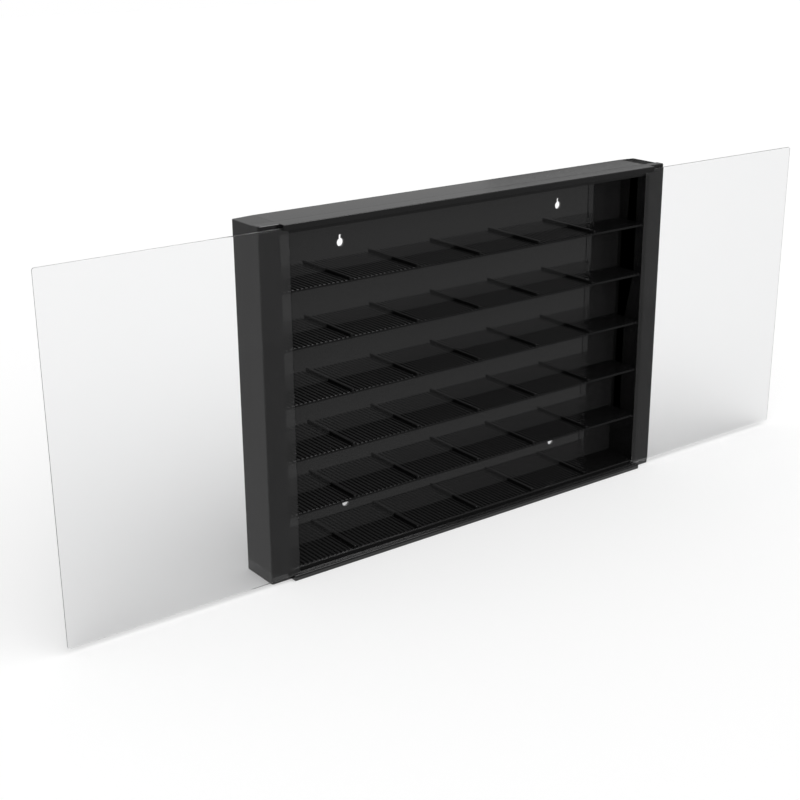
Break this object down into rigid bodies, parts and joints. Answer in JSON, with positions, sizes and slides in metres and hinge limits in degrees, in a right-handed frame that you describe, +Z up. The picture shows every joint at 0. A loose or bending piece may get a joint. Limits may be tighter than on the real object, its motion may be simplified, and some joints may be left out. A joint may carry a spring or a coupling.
{
  "type": "model car display case",
  "caption": "Display case for model cars: black frame, ribbed shelves with low dividers, glossy back with keyholes, and clear doors that slide sideways in separate tracks.",
  "frame": {"origin": "middle of the footprint, on the surface the case stands on", "axes": "+X to the right along the shelves, +Y from the doors to the back panel, +Z up"},
  "size_m": [1.1484, 0.0658, 0.43],
  "materials": {
    "black_plastic": "satin black moulded plastic",
    "shelf_plastic": "satin black moulded plastic",
    "glossy_back": "high gloss black sheet",
    "clear_sheet": "clear polished acrylic sheet",
    "screw_steel": "zinc plated steel"
  },
  "bodies": {
    "case": {"left_end_panel": "black_plastic", "right_end_panel": "black_plastic", "top_panel": "black_plastic", "bottom_panel": "black_plastic", "top_rail": "black_plastic", "bottom_rail": "black_plastic", "back_panel": "glossy_back", "shelf_1": "shelf_plastic", "shelf_2": "shelf_plastic", "shelf_3": "shelf_plastic", "shelf_4": "shelf_plastic", "shelf_5": "shelf_plastic", "floor_shelf": "shelf_plastic", "back_panel_screws": "screw_steel", "rail_screws": "screw_steel"},
    "left_sliding_door": {"left_door": "clear_sheet"},
    "right_sliding_door": {"right_door": "clear_sheet"}
  },
  "joints": [
    {"name": "left_door_slide", "type": "slide", "parent": "case", "child": "left_sliding_door", "axis": [1, 0, 0], "range_m": [0, 0.5707]},
    {"name": "right_door_slide", "type": "slide", "parent": "case", "child": "right_sliding_door", "axis": [1, 0, 0], "range_m": [-0.5707, 0]}
  ]
}
